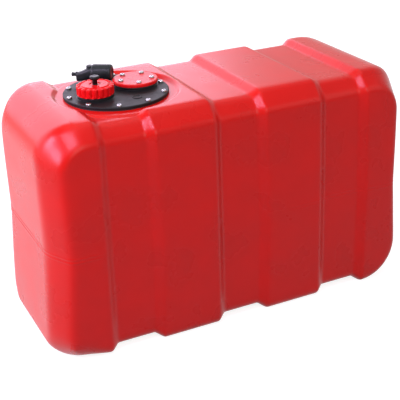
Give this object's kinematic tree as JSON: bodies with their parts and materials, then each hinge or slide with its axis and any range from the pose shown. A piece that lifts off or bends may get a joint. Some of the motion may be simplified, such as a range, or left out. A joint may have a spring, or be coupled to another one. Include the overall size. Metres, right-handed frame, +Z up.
{
  "type": "outboard fuel tank",
  "caption": "Ribbed rotomoulded outboard fuel tank with service flange, vented filler cap, fuel outlet head and blanked sender port.",
  "frame": {"origin": "middle of the tank's footprint, on the surface that it stands on", "axes": "+X along the tank, away from the service flange; +Y to the back, the outlet head's side; +Z up"},
  "size_m": [0.6542, 0.293, 0.424],
  "materials": {
    "tank_red": "rotomoulded cross-linked polyethylene, satin, slightly waxy",
    "fitting_red": "injection-moulded, semi-gloss",
    "nylon_black": "injection-moulded glass-filled nylon, satin",
    "nylon_grey": "injection-moulded glass-filled nylon, satin",
    "seal_rubber": "fuel-resistant nitrile rubber, matt",
    "stainless_steel": "stainless steel, turned",
    "brass": "turned brass",
    "aluminium_tube": "drawn tube",
    "filter_white": "sintered polyethylene"
  },
  "bodies": {
    "tank": {"tank_shell": "tank_red", "flange_inserts": "brass", "flange_gasket": "seal_rubber", "access_flange": "nylon_black", "flange_screws": "stainless_steel", "plate_inserts": "brass", "plate_gasket": "seal_rubber", "blank_plate": "fitting_red", "plate_screws": "stainless_steel", "outlet_head": "nylon_grey", "filter_plug": "nylon_grey", "plug_o_ring": "seal_rubber", "filter_cartridge": "filter_white", "bleed_screw": "nylon_grey", "head_seal": "seal_rubber", "head_lock_nut": "nylon_black", "pickup_tube": "aluminium_tube", "pickup_strainer": "filter_white"},
    "cap_seal": {"cap_seal": "seal_rubber"},
    "filler_cap": {"filler_cap": "fitting_red"},
    "vent_seal": {"vent_o_ring": "seal_rubber"},
    "vent_screw": {"vent_screw": "nylon_black"},
    "check_ball": {"check_ball": "stainless_steel"}
  },
  "joints": [
    {"name": "cap_lift", "type": "slide", "parent": "tank", "child": "cap_seal", "axis": [0, 0, 1], "range_m": [0, 0.009]},
    {"name": "cap_turn", "type": "hinge", "parent": "cap_seal", "child": "filler_cap", "pos_m": [-0.19049, -0.01267, 0.3955], "axis": [0, 0, 1], "range_deg": [0, 540]},
    {"name": "vent_lift", "type": "slide", "parent": "filler_cap", "child": "vent_seal", "axis": [0, 0, 1], "range_m": [0, 0.003]},
    {"name": "vent_turn", "type": "hinge", "parent": "vent_seal", "child": "vent_screw", "pos_m": [-0.19049, -0.01267, 0.4185], "axis": [0, 0, 1], "range_deg": [0, 720]},
    {"name": "ball_lift", "type": "slide", "parent": "tank", "child": "check_ball", "axis": [0, 0, 1], "range_m": [0, 0.003]}
  ],
  "couplings": [
    {"joint": "cap_lift", "follows": "cap_turn", "m_per_rad": 0.00095493},
    {"joint": "vent_lift", "follows": "vent_turn", "m_per_rad": 0.00023873}
  ]
}
